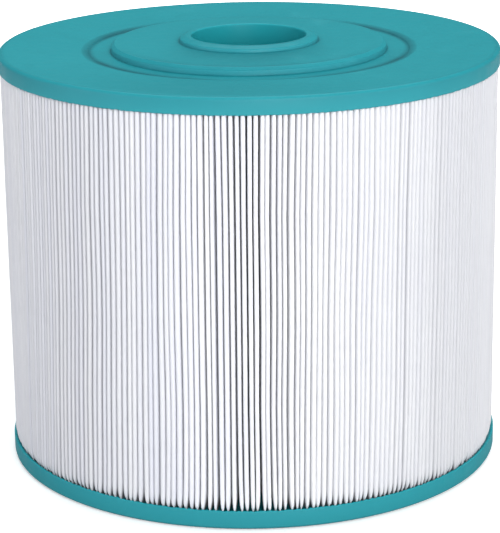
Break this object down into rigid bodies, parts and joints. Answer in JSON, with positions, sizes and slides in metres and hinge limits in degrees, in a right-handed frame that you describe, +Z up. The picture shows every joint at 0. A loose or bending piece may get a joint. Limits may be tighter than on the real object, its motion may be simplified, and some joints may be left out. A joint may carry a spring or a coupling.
{
  "type": "pleated filter cartridge",
  "caption": "Open-ended cylindrical water filter cartridge: pleated fabric media round a perforated core, potted in moulded end caps with a through bore for a standpipe.",
  "frame": {"origin": "centre of the bore in the plane of the bottom cap's underside", "axes": "+Z up the cartridge axis, from the plain bottom cap to the cap with the collar; +Y passes through the seam pleat"},
  "size_m": [0.216, 0.216, 0.1844],
  "materials": {
    "end_cap_urethane": "smooth satin cast polyurethane",
    "filter_fabric": "matte spunbond polyester",
    "hot_melt": "waxy hot melt",
    "core_plastic": "moulded white plastic"
  },
  "bodies": {
    "root": {"top_end_cap": "end_cap_urethane", "bottom_end_cap": "end_cap_urethane", "pleated_media": "filter_fabric", "media_seam_bead": "hot_melt", "core_tube": "core_plastic"}
  },
  "joints": []
}
